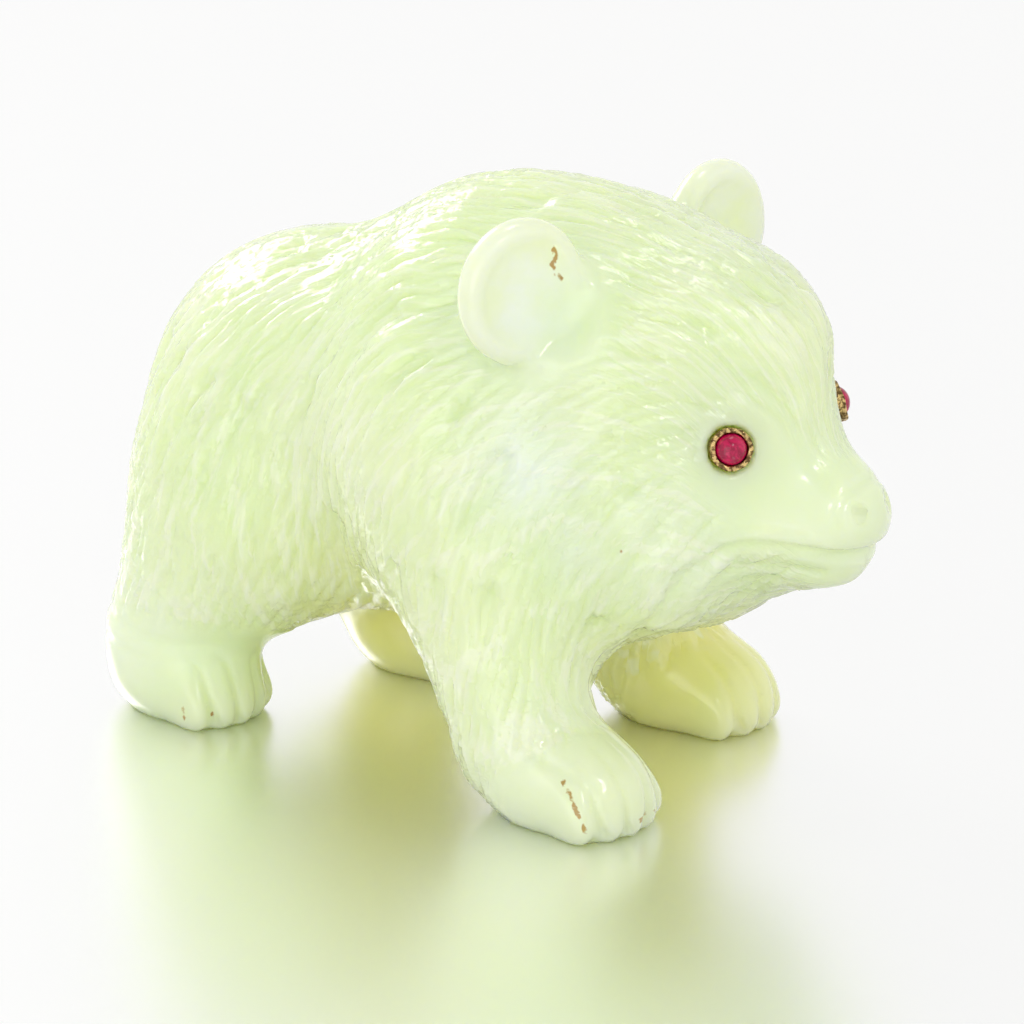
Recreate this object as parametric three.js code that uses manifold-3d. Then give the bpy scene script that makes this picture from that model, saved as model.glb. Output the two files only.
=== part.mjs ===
// Bowenite bear figurine with gold-set red cabochon eyes.
// Millimetres, +Z up, +X towards the nose, +Y the bear's left. It stands on z = 0 with the origin
// under the middle of its box.

import * as THREE from 'three';
import { mergeVertices } from 'three/addons/utils/BufferGeometryUtils.js';
import Module from 'manifold-3d';

const wasm = await Module();
wasm.setup();

// Driving dimensions, in millimetres
const bearLength = 66;
const cabochonDiameter = 2.2;
const cabochonHeight = 1.6;
const stoneClearance = 0.25; // between the cabochon and its collet
const colletWall = 0.25;
const colletFloor = 0.3;
const colletHeight = 1.5;
const colletStandsProud = 0.38;
const socketClearance = 0.25; // between the collet and the socket drilled for it

// The bear itself is drawn in hundredths of its own length, from nose to rump.
const carvingLength = 98.2;
const carvingMiddle = new THREE.Vector3(-0.06, 0.49, 0);
const hundredth = bearLength / carvingLength;

// Masses of the trunk and head: kind, place, sizes, turn (yaw, pitch, roll in degrees), blend.
// An egg has three radii. A limb has an end place and the radii at its start and end.
// A paired mass is repeated on the other side.
const masses = [
  { name: 'rump', egg: [-27, 0, 35], radii: [21, 18, 21], turn: [0, -12, 0], blend: 1 },
  { name: 'barrel', egg: [-8, 0, 36.5], radii: [30, 19, 22.8], turn: [0, -8, 0], blend: 8 },
  { name: 'withers', egg: [3, 0, 50], radii: [20, 13.5, 17.8], blend: 9 },
  { name: 'chest', egg: [12, 0, 35], radii: [17, 17.5, 18], blend: 9 },
  { name: 'nape', egg: [13, 0, 52], radii: [14, 14, 13.4], blend: 7 },
  { name: 'shoulder', egg: [1, 10.5, 42], radii: [13, 9.5, 20], turn: [0, -8, 0], blend: 8, paired: true },
  { name: 'haunch', egg: [-30, 11, 27], radii: [13, 9, 15.5], turn: [0, 10, 0], blend: 8, paired: true },
  { name: 'skull', egg: [20, 0, 46.5], radii: [18, 18, 17.5], blend: 7 },
  { name: 'forehead', egg: [29.2, 0, 50.5], radii: [12.2, 14.3, 11.5], turn: [0, 15, 0], blend: 5 },
  { name: 'brow', egg: [34.3, 4.5, 53.6], radii: [6.2, 5.5, 3.9], blend: 4, paired: true },
  { name: 'cheek', egg: [23, 10, 35], radii: [12.5, 9.5, 14.5], blend: 6, paired: true },
  { name: 'ruff', egg: [25.5, 0, 29], radii: [11, 12, 9.5], turn: [0, -10, 0], blend: 6 },
  { name: 'muzzle', limb: [30, 0, 39], to: [41.8, 0, 35.5], ends: [12, 6.1], blend: 7 },
  { name: 'nose', egg: [44, 0, 36], radii: [3.2, 4.3, 4], blend: 4 },
  { name: 'lips', egg: [37, 0, 35.2], radii: [10.5, 10.2, 5], turn: [0, 6, 0], blend: 4 },
  { name: 'jaw', limb: [30, 0, 30.5], to: [43.6, 0, 30.4], ends: [7, 3], blend: 2.5 },
  { name: 'chin', egg: [35.5, 0, 30.6], radii: [9.5, 7.2, 3.9], turn: [0, 2, 0], blend: 2.5 },
  { name: 'tail', egg: [-46, 0, 36], radii: [3, 3.2, 4.6], turn: [0, 12, 0], blend: 3 },
];

// Legs: hip and wrist places with the leg's radii there, and the palm's place, radii and yaw.
const legs = [
  {
    name: 'right fore', hip: [2.5, -12, 38], wrist: [13.3, -17.8, 10], ends: [12.5, 7.8],
    palm: [19.4, -17.4, 4.3], radii: [10.4, 8, 6.4], yaw: -6,
  },
  {
    name: 'left fore', hip: [2.5, 12, 38], wrist: [7, 16.5, 10], ends: [12.5, 7.8],
    palm: [12.6, 17.8, 4.3], radii: [10.4, 8, 6.4], yaw: 6,
  },
  {
    name: 'right hind', hip: [-30, -10, 25], wrist: [-39.8, -13.6, 10.2], ends: [9.5, 6.9],
    palm: [-37.2, -13.4, 4], radii: [9.6, 7.2, 6], yaw: -6,
  },
  {
    name: 'left hind', hip: [-28, 10, 24], wrist: [-27, 14.5, 11], ends: [10.5, 7],
    palm: [-22.8, 15, 4], radii: [9.2, 7.2, 6], yaw: 6,
  },
];
const legBlend = 10;
const pawBlend = 5;
const toes = { count: 5, radii: [4, 1.9, 3.1], height: 2.8, droop: 22, blend: 1.6 };
const toeReach = 0.68; // of the palm's length, for the middle toe
const toeCurve = 0.2; // of the palm's length, that the outer toes stand back
const toeSpread = 0.65; // of the palm's width
const toeFan = 14;

// Ears: places and yaws differ a little, as cut by hand. The bowl is hollowed from the front.
const earPlaces = [
  { at: [14.5, -19, 60.2], yaw: -26 },
  { at: [14.5, 19.5, 58.6], yaw: -8 },
];
const ear = { radii: [3.8, 7.6, 8.2], blend: 3, bowlOut: 4.1, bowlRadii: [4.1, 7.1, 7.7], bowlBlend: 1.2 };

// Hollows of the face, on the left side and repeated on the right
const nostril = { at: [47.4, 2.6, 36.5], radii: [1.3, 0.9, 1.3], blend: 0.6 };
const eyeHollow = { at: [54.2, 31.9, 54.2], radius: 29.9, blend: 5 };

// The eyes, each with its own place; the left one also stands a little prouder
const eyes = { right: { at: [36.5, -10.5, 44], lift: 0 }, left: { at: [37.8, 10.4, 44.8], lift: 0.9 } };

// Cut lines along the surface, on the left side and repeated on the right
const cutLines = [
  {
    name: 'mouth', width: 1.4, depth: 1,
    places: [
      [49, 0, 31.2], [46.6, 4, 32.2], [42.5, 8.4, 33.2], [37.5, 11, 33.2], [33, 12.8, 31.2], [30.6, 14, 28],
    ],
  },
  { name: 'eye crease', width: 1.7, depth: 0.6, places: [[34, 14, 46], [30, 17, 45.2], [26, 19, 43]] },
  {
    name: 'brow', width: 2, depth: 0.4,
    places: [[35, 12.5, 49], [38, 9, 50.6], [40.5, 6, 48], [43, 4.6, 44]],
  },
];

// Locks of fur: rows of tapering grooves that follow the fur, from one place to another
const lockRows = [
  { name: 'forehead', from: [35, 3, 58], to: [28, 14, 54], count: 3, length: 9 },
  { name: 'cheek', from: [26, 19, 45], to: [33, 14, 30], count: 4, length: 10 },
  { name: 'ruff', from: [33, 4, 23], to: [22, 15, 24], count: 4, length: 7 },
  { name: 'neck', from: [8, 6, 68], to: [5, 16, 57], count: 3, length: 11 },
  { name: 'shoulder', from: [-3, 17, 54], to: [13, 20, 41], count: 4, length: 13 },
  { name: 'foreleg', from: [2, 21, 28], to: [12, 21, 26], count: 3, length: 9 },
  { name: 'back', from: [-13, 6, 61], to: [-33, 6, 55], count: 4, length: 10 },
  { name: 'flank', from: [-15, 18, 44], to: [-10, 18, 30], count: 2, length: 9 },
  { name: 'haunch', from: [-41, 12, 44], to: [-24, 18, 40], count: 4, length: 13 },
];
const lock = { width: 1.9, depth: 0.95, step: 2 };

// Which way the fur lies: at each place, on the left side, the way it grows
const furLies = [
  { at: [42, 3, 44], way: [-0.4, 0, 0.9] },
  { at: [36, 4, 54], way: [-0.8, 0.1, 0.6] },
  { at: [33, 14, 50], way: [-0.8, 0.3, 0.1] },
  { at: [26, 3, 63], way: [-1, 0.1, 0.1] },
  { at: [27, 18, 42], way: [-0.6, 0, -0.8] },
  { at: [32, 12, 28], way: [-0.5, 0.1, -0.9] },
  { at: [24, 10, 20], way: [-0.4, 0, -1] },
  { at: [10, 14, 60], way: [-1, 0.2, -0.2] },
  { at: [2, 3, 69], way: [-1, 0.1, -0.1] },
  { at: [8, 20, 44], way: [-0.5, 0, -0.9] },
  { at: [8, 20, 24], way: [-0.1, 0, -1] },
  { at: [-16, 4, 61], way: [-0.9, 0.5, -0.2] },
  { at: [-12, 18, 40], way: [-0.3, 0, -1] },
  { at: [-36, 5, 53], way: [-0.8, 0.6, -0.4] },
  { at: [-32, 18, 34], way: [-0.4, 0, -1] },
  { at: [-47, 6, 40], way: [-0.2, 0.3, -1] },
];
const furReach = 9;

// Facets: cell of the first net, the largest miss of an edge's middle, and the shortest edge split
const facets = { cell: 3.4, miss: 0.28, shortest: 1.2, groove: 1.2, relaxings: 4, splittings: 3 };
const shortestEdge = 0.05; // millimetres

// An ellipsoid as a distance, negative inside
function egg(at, radii, turn = [0, 0, 0]) {
  const [yaw, pitch, roll] = turn.map(THREE.MathUtils.degToRad);
  const euler = new THREE.Euler(roll, pitch, yaw, 'ZYX');
  const intoEgg = new THREE.Matrix4().makeRotationFromEuler(euler).setPosition(...at).invert();
  const size = new THREE.Vector3(...radii);
  const q = new THREE.Vector3();
  return (p) => {
    const near = q.copy(p).applyMatrix4(intoEgg).divide(size).length();
    const steep = q.divide(size).length();
    return near * (near - 1) / Math.max(steep, 1e-6);
  };
}

// A round bar that tapers from one radius to another, as a distance
function limb(from, to, fromRadius, toRadius) {
  const start = new THREE.Vector3(...from);
  const axis = new THREE.Vector3(...to).sub(start);
  const length = axis.length();
  axis.divideScalar(length);
  const taper = fromRadius - toRadius;
  const lean = taper / Math.sqrt(length * length - taper * taper);
  const q = new THREE.Vector3();
  return (p) => {
    q.subVectors(p, start);
    const along = q.dot(axis);
    const out = Math.sqrt(Math.max(q.lengthSq() - along * along, 0));
    const s = THREE.MathUtils.clamp(along - out * lean, 0, length);
    return Math.hypot(out, along - s) - fromRadius + taper * s / length;
  };
}

// Joins two distances with a rounded fillet of the given size
function blended(a, b, blend) {
  const h = Math.max(blend - Math.abs(a - b), 0) / blend;
  return Math.min(a, b) - h * h * blend / 4;
}

function joined(parts) {
  return (p) => parts.reduce((d, part) => blended(d, part.shape(p), part.blend), 1000);
}

// Same place on the other side of the bear
function mirrored([x, y, z], side) {
  return [x, y * side, z];
}

function massParts() {
  const parts = [];
  for (const mass of masses) {
    for (const side of mass.paired ? [1, -1] : [1]) {
      const shape = mass.egg
        ? egg(mirrored(mass.egg, side), mass.radii, mass.turn)
        : limb(mass.limb, mass.to, ...mass.ends);
      parts.push({ shape, blend: mass.blend });
    }
  }
  return parts;
}

function palm(leg) {
  return egg(leg.palm, leg.radii, [leg.yaw, 0, 0]);
}

// A palm with its toes fanned across the front
function paw(leg) {
  const [length, width] = leg.radii;
  const yaw = THREE.MathUtils.degToRad(leg.yaw);
  const parts = [{ shape: palm(leg), blend: 1 }];
  for (let i = 0; i < toes.count; i += 1) {
    const across = 2 * i / (toes.count - 1) - 1;
    const forward = length * (toeReach - toeCurve * across * across);
    const sideways = width * toeSpread * across;
    const at = [
      leg.palm[0] + forward * Math.cos(yaw) - sideways * Math.sin(yaw),
      leg.palm[1] + forward * Math.sin(yaw) + sideways * Math.cos(yaw),
      toes.height,
    ];
    const turn = [leg.yaw + toeFan * across, toes.droop, 0];
    parts.push({ shape: egg(at, toes.radii, turn), blend: toes.blend });
  }
  return joined(parts);
}

function legParts(foot) {
  return legs.flatMap((leg) => [
    { shape: limb(leg.hip, leg.wrist, ...leg.ends), blend: legBlend },
    { shape: foot(leg), blend: pawBlend },
  ]);
}

function earParts() {
  return earPlaces.map(({ at, yaw }) => ({ shape: egg(at, ear.radii, [yaw, 0, 0]), blend: ear.blend }));
}

// Hollows: ear bowls, nostrils and the shallow hollows that hold the eyes
function hollowParts() {
  const parts = earPlaces.map(({ at, yaw }) => {
    const angle = THREE.MathUtils.degToRad(yaw);
    const bowlAt = [at[0] + ear.bowlOut * Math.cos(angle), at[1] + ear.bowlOut * Math.sin(angle), at[2]];
    return { shape: egg(bowlAt, ear.bowlRadii, [yaw, 0, 0]), blend: ear.bowlBlend };
  });
  for (const side of [1, -1]) {
    parts.push({ shape: egg(mirrored(nostril.at, side), nostril.radii), blend: nostril.blend });
    const ball = [eyeHollow.radius, eyeHollow.radius, eyeHollow.radius];
    parts.push({ shape: egg(mirrored(eyeHollow.at, side), ball), blend: eyeHollow.blend });
  }
  return parts;
}

function bearWith(foot, hollows) {
  const solidParts = joined([...massParts(), ...legParts(foot), ...earParts()]);
  return (p) => hollows.reduce((d, part) => -blended(-d, part.shape(p), part.blend), solidParts(p));
}

const blockedOutBear = bearWith(palm, []); // its toes not yet parted, its ears solid
const smoothBear = bearWith(paw, hollowParts()); // before its lines and locks are cut

// Slope of a distance, by four samples at the corners of a small tetrahedron
const corners = [[1, -1, -1], [-1, -1, 1], [-1, 1, -1], [1, 1, 1]].map((c) => new THREE.Vector3(...c));
const sampleReach = 0.05;

function slope(shape, p, out) {
  const sample = new THREE.Vector3();
  out.set(0, 0, 0);
  for (const corner of corners) {
    out.addScaledVector(corner, shape(sample.copy(p).addScaledVector(corner, sampleReach)));
  }
  return out.divideScalar(4 * sampleReach);
}

// Moves a point onto the surface along the slope
function settle(shape, p, steps = 4) {
  const way = new THREE.Vector3();
  for (let i = 0; i < steps; i += 1) {
    slope(shape, p, way);
    const move = THREE.MathUtils.clamp(shape(p) / way.lengthSq(), -1.5, 1.5);
    p.addScaledVector(way, -move);
  }
  return p;
}

// The way the fur lies at a point of the surface, along the surface
function furWay(p) {
  const side = p.y < 0 ? -1 : 1;
  const way = new THREE.Vector3();
  for (const lie of furLies) {
    const away = new THREE.Vector3(...mirrored(lie.at, side)).distanceToSquared(p);
    way.addScaledVector(new THREE.Vector3(...mirrored(lie.way, side)), Math.exp(-away / (2 * furReach ** 2)));
  }
  const normal = slope(smoothBear, p, new THREE.Vector3()).normalize();
  return way.addScaledVector(normal, -way.dot(normal)).normalize();
}

// Grooves as chains of points on the surface, with the depth tapering from start to end
function grooveAlong(points, width, depth, endDepth) {
  const box = new THREE.Box3().setFromPoints(points).expandByScalar(width);
  return { points, width, depth, endDepth, box };
}

function cutGrooves() {
  const grooves = [];
  for (const side of [1, -1]) {
    for (const line of cutLines) {
      const places = line.places.map((at) => new THREE.Vector3(...mirrored(at, side)));
      const curve = new THREE.CatmullRomCurve3(places);
      const points = curve.getPoints(3 * (line.places.length - 1)).map((p) => settle(smoothBear, p));
      grooves.push(grooveAlong(points, line.width, line.depth, line.depth / 2));
    }
  }
  return grooves;
}

function lockGrooves() {
  const grooves = [];
  for (const side of [1, -1]) {
    for (const row of lockRows) {
      const from = new THREE.Vector3(...mirrored(row.from, side));
      const to = new THREE.Vector3(...mirrored(row.to, side));
      for (let i = 0; i < row.count; i += 1) {
        const p = settle(smoothBear, from.clone().lerp(to, i / (row.count - 1)), 8);
        const points = [p.clone()];
        for (let run = 0; run < row.length; run += lock.step) {
          p.addScaledVector(furWay(p), lock.step);
          points.push(settle(smoothBear, p, 2).clone());
        }
        grooves.push(grooveAlong(points, lock.width, lock.depth, 0));
      }
    }
  }
  return grooves;
}

const grooves = [...cutGrooves(), ...lockGrooves()];

// How deep the surface is cut at a point
function cutDepth(p) {
  let deepest = 0;
  const segment = new THREE.Line3();
  const foot = new THREE.Vector3();
  for (const groove of grooves) {
    if (!groove.box.containsPoint(p)) continue;
    const last = groove.points.length - 1;
    for (let i = 0; i < last; i += 1) {
      segment.set(groove.points[i], groove.points[i + 1]);
      const t = segment.closestPointToPointParameter(p, true);
      const away = segment.at(t, foot).distanceTo(p) / groove.width;
      if (away < 1) {
        const depth = THREE.MathUtils.lerp(groove.depth, groove.endDepth, (i + t) / last);
        deepest = Math.max(deepest, depth * (1 - away * away) ** 2);
      }
    }
  }
  return deepest;
}

function carvedBear(p) {
  return smoothBear(p) + cutDepth(p);
}

// First net of facets: one point in each cell that the surface passes through
function surfaceNet(shape, box, cell) {
  const size = box.getSize(new THREE.Vector3()).divideScalar(cell).ceil();
  const counts = [size.x + 1, size.y + 1, size.z + 1];
  const stride = [1, counts[0], counts[0] * counts[1]];
  const total = counts[0] * counts[1] * counts[2];
  const place = (i, j, k) => new THREE.Vector3(i, j, k).multiplyScalar(cell).add(box.min);
  const values = new Float64Array(total);
  const cells = new Int32Array(total).fill(-1);
  const points = [];
  const triangles = [];
  const everyNode = (visit) => {
    for (let k = 0; k < counts[2]; k += 1) {
      for (let j = 0; j < counts[1]; j += 1) {
        for (let i = 0; i < counts[0]; i += 1) {
          visit([i, j, k], i + stride[1] * j + stride[2] * k);
        }
      }
    }
  };
  everyNode(([i, j, k], node) => {
    values[node] = shape(place(i, j, k));
  });
  everyNode((at, node) => {
    if (at.some((value, axis) => value === counts[axis] - 1)) return;
    const crossing = new THREE.Vector3();
    let crossings = 0;
    for (let axis = 0; axis < 3; axis += 1) {
      const [u, v] = [(axis + 1) % 3, (axis + 2) % 3];
      for (const [du, dv] of [[0, 0], [1, 0], [0, 1], [1, 1]]) {
        const start = node + du * stride[u] + dv * stride[v];
        const [a, b] = [values[start], values[start + stride[axis]]];
        if (a < 0 === b < 0) continue;
        const corner = [...at];
        corner[u] += du;
        corner[v] += dv;
        corner[axis] += a / (a - b);
        crossing.add(place(...corner));
        crossings += 1;
      }
    }
    if (crossings === 0) return;
    cells[node] = points.length;
    points.push(crossing.divideScalar(crossings));
  });
  everyNode((at, node) => {
    for (let axis = 0; axis < 3; axis += 1) {
      const [u, v] = [(axis + 1) % 3, (axis + 2) % 3];
      if (at[axis] === counts[axis] - 1 || at[u] === 0 || at[v] === 0) continue;
      const [a, b] = [values[node], values[node + stride[axis]]];
      if (a < 0 === b < 0) continue;
      const around = [node - stride[u] - stride[v], node - stride[v], node, node - stride[u]];
      const ring = around.map((c) => cells[c]);
      if (a >= 0) ring.reverse();
      const [p, q, r, s] = ring.map((index) => points[index]);
      if (p.distanceTo(r) < q.distanceTo(s)) {
        triangles.push([ring[0], ring[1], ring[2]], [ring[0], ring[2], ring[3]]);
      } else {
        triangles.push([ring[0], ring[1], ring[3]], [ring[1], ring[2], ring[3]]);
      }
    }
  });
  return { points, triangles };
}

// True where each edge belongs to just two facets, as on one closed skin
function isSingleSkin(net) {
  const edges = new Set();
  const repeated = net.triangles.some((triangle) => triangle.some((a, i) => {
    const edge = `${a} ${triangle[(i + 1) % 3]}`;
    const known = edges.has(edge);
    edges.add(edge);
    return known;
  }));
  return !repeated;
}

// A net can pinch where a bump just reaches into a cell, and then the cells are shifted a little
function cleanNet(shape, box, cell) {
  const shifts = 8;
  let net;
  for (let i = 0; i < shifts; i += 1) {
    const shifted = box.clone();
    shifted.min.addScalar(-cell * i / shifts);
    net = surfaceNet(shape, shifted, cell);
    if (isSingleSkin(net)) break;
  }
  return net;
}

// Evens out the facets: each point moves to the middle of its neighbours and back onto the surface
function relax(net, shape, pinned = new Set()) {
  const sums = net.points.map(() => ({ sum: new THREE.Vector3(), count: 0 }));
  for (const [a, b, c] of net.triangles) {
    for (const [from, to] of [[a, b], [b, c], [c, a]]) {
      sums[from].sum.add(net.points[to]);
      sums[from].count += 1;
    }
  }
  net.points.forEach((p, i) => {
    if (pinned.has(p)) return;
    p.lerp(sums[i].sum.divideScalar(sums[i].count), 0.5);
    settle(shape, p, 2);
  });
}

// Splits each edge that misses the surface, and the facets on both sides of it with it
function split(net, shape, miss, shortest) {
  const middles = new Map();
  const keyOf = (a, b) => (a < b ? `${a} ${b}` : `${b} ${a}`);
  for (const triangle of net.triangles) {
    triangle.forEach((a, i) => {
      const b = triangle[(i + 1) % 3];
      if (a > b) return;
      const [p, q] = [net.points[a], net.points[b]];
      if (p.distanceTo(q) < shortest) return;
      const misses = [0.25, 0.5, 0.75].map((t) => Math.abs(shape(p.clone().lerp(q, t))));
      if (Math.max(...misses) < miss) return;
      middles.set(keyOf(a, b), net.points.length);
      net.points.push(settle(shape, p.clone().lerp(q, 0.5)));
    });
  }
  net.triangles = net.triangles.flatMap((triangle) => {
    const cuts = triangle.map((a, i) => middles.get(keyOf(a, triangle[(i + 1) % 3])));
    const known = cuts.filter((cut) => cut !== undefined).length;
    if (known === 0) return [triangle];
    const start = known === 1
      ? cuts.findIndex((cut) => cut !== undefined)
      : (cuts.findIndex((cut) => cut === undefined) + 1) % 3;
    const [a, b, c] = [0, 1, 2].map((i) => triangle[(start + i) % 3]);
    const [ab, bc, ca] = [0, 1, 2].map((i) => cuts[(start + i) % 3]);
    if (known === 1) return [[a, ab, c], [ab, b, c]];
    if (known === 3) return [[a, ab, ca], [ab, b, bc], [ca, bc, c], [ab, bc, ca]];
    const short = net.points[a].distanceTo(net.points[bc]) < net.points[ab].distanceTo(net.points[c]);
    const rest = short ? [[a, ab, bc], [a, bc, c]] : [[a, ab, c], [ab, bc, c]];
    return [[ab, b, bc], ...rest];
  });
}

// Turns an edge across its two facets where the other diagonal lies closer to the surface
function turnEdges(net, shape) {
  const owner = new Map();
  net.triangles.forEach((triangle, index) => {
    triangle.forEach((a, i) => owner.set(`${a} ${triangle[(i + 1) % 3]}`, index));
  });
  const miss = (a, b) => Math.abs(shape(net.points[a].clone().lerp(net.points[b], 0.5)));
  const facing = (a, b, c) => {
    const [p, q, r] = [a, b, c].map((index) => net.points[index]);
    return q.clone().sub(p).cross(r.clone().sub(p)).normalize();
  };
  const turned = new Set();
  for (const [edge, first] of owner) {
    const [a, b] = edge.split(' ').map(Number);
    const second = owner.get(`${b} ${a}`);
    if (a > b || turned.has(first) || turned.has(second)) continue;
    const c = net.triangles[first].find((corner) => corner !== a && corner !== b);
    const d = net.triangles[second].find((corner) => corner !== a && corner !== b);
    if (owner.has(`${c} ${d}`) || owner.has(`${d} ${c}`) || miss(c, d) > 0.7 * miss(a, b)) continue;
    const way = facing(a, b, c).add(facing(b, a, d)).normalize();
    if (Math.min(facing(a, d, c).dot(way), facing(d, b, c).dot(way)) < 0.5) continue;
    net.triangles[first] = [a, d, c];
    net.triangles[second] = [d, b, c];
    turned.add(first);
    turned.add(second);
  }
}

// Draws the nearest points of the net onto the bottoms of the grooves, so that they run clean
function drawToGrooves(net, reach) {
  const drawn = new Set();
  for (const groove of grooves) {
    const near = net.points.filter((p) => groove.box.containsPoint(p));
    const curve = new THREE.CatmullRomCurve3(groove.points);
    for (const at of curve.getSpacedPoints(Math.round(curve.getLength() / reach))) {
      const free = near.filter((p) => !drawn.has(p) && p.distanceTo(at) < reach);
      if (free.length === 0) continue;
      const nearest = free.reduce((best, p) => (p.distanceTo(at) < best.distanceTo(at) ? p : best));
      drawn.add(nearest);
      nearest.copy(at);
    }
  }
  return drawn;
}

function netGeometry(net) {
  const geometry = new THREE.BufferGeometry().setFromPoints(net.points);
  geometry.setIndex(net.triangles.flat());
  return geometry;
}

// Closes up the edges too short to matter, which a cut leaves beside older points. The lower end stays.
function withoutShortEdges(geometry) {
  const position = geometry.attributes.position;
  const pointAt = (_, i) => new THREE.Vector3().fromBufferAttribute(position, i);
  const points = Array.from({ length: position.count }, pointAt);
  let triangles = [];
  for (let i = 0; i < geometry.index.count; i += 3) {
    triangles.push([0, 1, 2].map((corner) => geometry.index.getX(i + corner)));
  }
  const neighbours = (a) => new Set(triangles.filter((t) => t.includes(a)).flat());
  const isShort = ([a, b]) => points[a].distanceTo(points[b]) < shortestEdge;
  const edges = triangles.flatMap(([a, b, c]) => [[a, b], [b, c], [c, a]]);
  for (const [a, b] of edges.filter(isShort)) {
    const [keep, drop] = points[a].z < points[b].z ? [a, b] : [b, a];
    const around = neighbours(keep);
    const shared = [...neighbours(drop)].filter((point) => around.has(point));
    if (!around.has(drop) || shared.length !== 4) continue;
    triangles = triangles
      .map((t) => t.map((corner) => (corner === drop ? keep : corner)))
      .filter((t) => new Set(t).size === 3);
  }
  const closed = new THREE.BufferGeometry().setFromPoints(points);
  closed.setIndex(triangles.flat());
  return closed;
}

function toSolid(geometry) {
  const plain = geometry.clone();
  plain.deleteAttribute('normal');
  plain.deleteAttribute('uv');
  const merged = mergeVertices(plain, 1e-4);
  return new wasm.Manifold(new wasm.Mesh({
    numProp: 3,
    vertProperties: new Float32Array(merged.attributes.position.array),
    triVerts: new Uint32Array(merged.index.array),
  }));
}

function toGeometry(solid) {
  const { vertProperties, triVerts } = solid.getMesh();
  const geometry = new THREE.BufferGeometry();
  geometry.setAttribute('position', new THREE.BufferAttribute(vertProperties, 3));
  geometry.setIndex(new THREE.BufferAttribute(triVerts, 1));
  geometry.computeVertexNormals();
  return geometry;
}

// Closed turned shape about +Z from radius and height pairs that start and end on the axis
function turned(profile, sides) {
  const geometry = new THREE.LatheGeometry(profile.map(([r, h]) => new THREE.Vector2(r, h)), sides);
  return geometry.rotateX(Math.PI / 2);
}

// Where an eye sits: its place on the stone and the turn that brings +Z to point out of the face
function eyeSeat(eye) {
  const at = settle(smoothBear, new THREE.Vector3(...eye.at), 8);
  const out = slope(smoothBear, at, new THREE.Vector3()).normalize();
  const quaternion = new THREE.Quaternion().setFromUnitVectors(new THREE.Vector3(0, 0, 1), out);
  const position = at.addScaledVector(out, eye.lift).sub(carvingMiddle).multiplyScalar(hundredth);
  return { position, quaternion };
}

const cavityRadius = cabochonDiameter / 2 + stoneClearance;
const colletRadius = cavityRadius + colletWall;
const socketRadius = colletRadius + socketClearance;
const colletFoot = colletStandsProud - colletHeight; // along the eye's axis, from the face
const eyeSides = 18;

function socketCutter(seat) {
  const bottom = colletFoot - socketClearance;
  const top = colletStandsProud + 1;
  const geometry = turned([[0, bottom], [socketRadius, bottom], [socketRadius, top], [0, top]], eyeSides);
  return geometry.applyQuaternion(seat.quaternion).translate(...seat.position.toArray());
}

// The gold collet: a small cup with a rounded lip
function colletGeometry() {
  const top = colletStandsProud;
  const lip = colletWall / 4;
  const floorTop = colletFoot + colletFloor;
  return turned([
    [0, colletFoot],
    [colletRadius, colletFoot],
    [colletRadius, top - lip],
    [colletRadius - lip, top],
    [cavityRadius + lip, top],
    [cavityRadius, top - lip],
    [cavityRadius, floorTop],
    [0, floorTop],
  ], eyeSides);
}

// The cabochon: a flat back, a short girdle and a dome
function cabochonGeometry() {
  const radius = cabochonDiameter / 2;
  const back = colletFoot + colletFloor + stoneClearance;
  const girdle = back + cabochonHeight / 4;
  const dome = cabochonHeight - (girdle - back);
  const profile = [[0, back], [radius, back]];
  const rings = 4;
  for (let i = 0; i <= rings; i += 1) {
    const angle = i / rings * Math.PI / 2;
    profile.push([i === rings ? 0 : radius * Math.cos(angle), girdle + dome * Math.sin(angle)]);
  }
  return turned(profile, eyeSides);
}

function bodyGeometry(seats) {
  const box = new THREE.Box3(new THREE.Vector3(-56, -36, -6), new THREE.Vector3(58, 36, 76));
  const net = cleanNet(blockedOutBear, box, facets.cell);
  for (let i = 0; i < facets.relaxings; i += 1) relax(net, blockedOutBear);
  for (let i = 0; i < facets.splittings; i += 1) {
    split(net, carvedBear, facets.miss, facets.shortest);
    turnEdges(net, carvedBear);
    const drawn = drawToGrooves(net, facets.groove);
    relax(net, smoothBear, drawn);
    for (const p of net.points) settle(carvedBear, p, 2);
    turnEdges(net, carvedBear);
  }
  const geometry = netGeometry(net).translate(...carvingMiddle.clone().negate().toArray());
  geometry.scale(hundredth, hundredth, hundredth);
  const below = new THREE.BoxGeometry(2 * bearLength, 2 * bearLength, bearLength);
  below.translate(0, 0, -bearLength / 2);
  let solid = toSolid(geometry).subtract(toSolid(below));
  for (const seat of seats) solid = solid.subtract(toSolid(socketCutter(seat)));
  return toGeometry(toSolid(withoutShortEdges(toGeometry(solid))));
}

const bowenite = { color: 0xdfe9b8, roughness: 0.3, metalness: 0 };
const gold = { color: 0xb98f3e, roughness: 0.4, metalness: 1 };
const ruby = { color: 0xb0123a, roughness: 0.1, metalness: 0 };

function piece(name, geometry, finish, seat) {
  const mesh = new THREE.Mesh(geometry, new THREE.MeshStandardMaterial(finish));
  mesh.name = name;
  if (seat) {
    mesh.position.copy(seat.position);
    mesh.quaternion.copy(seat.quaternion);
  }
  return mesh;
}

const seats = { left: eyeSeat(eyes.left), right: eyeSeat(eyes.right) };
const bear = new THREE.Group();
bear.add(piece('bear_body', bodyGeometry([seats.left, seats.right]), bowenite));
for (const [side, seat] of Object.entries(seats)) {
  bear.add(piece(`${side}_eye_setting`, colletGeometry(), gold, seat));
  bear.add(piece(`${side}_eye_cabochon`, cabochonGeometry(), ruby, seat));
}

export default bear;
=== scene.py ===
import math

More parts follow.
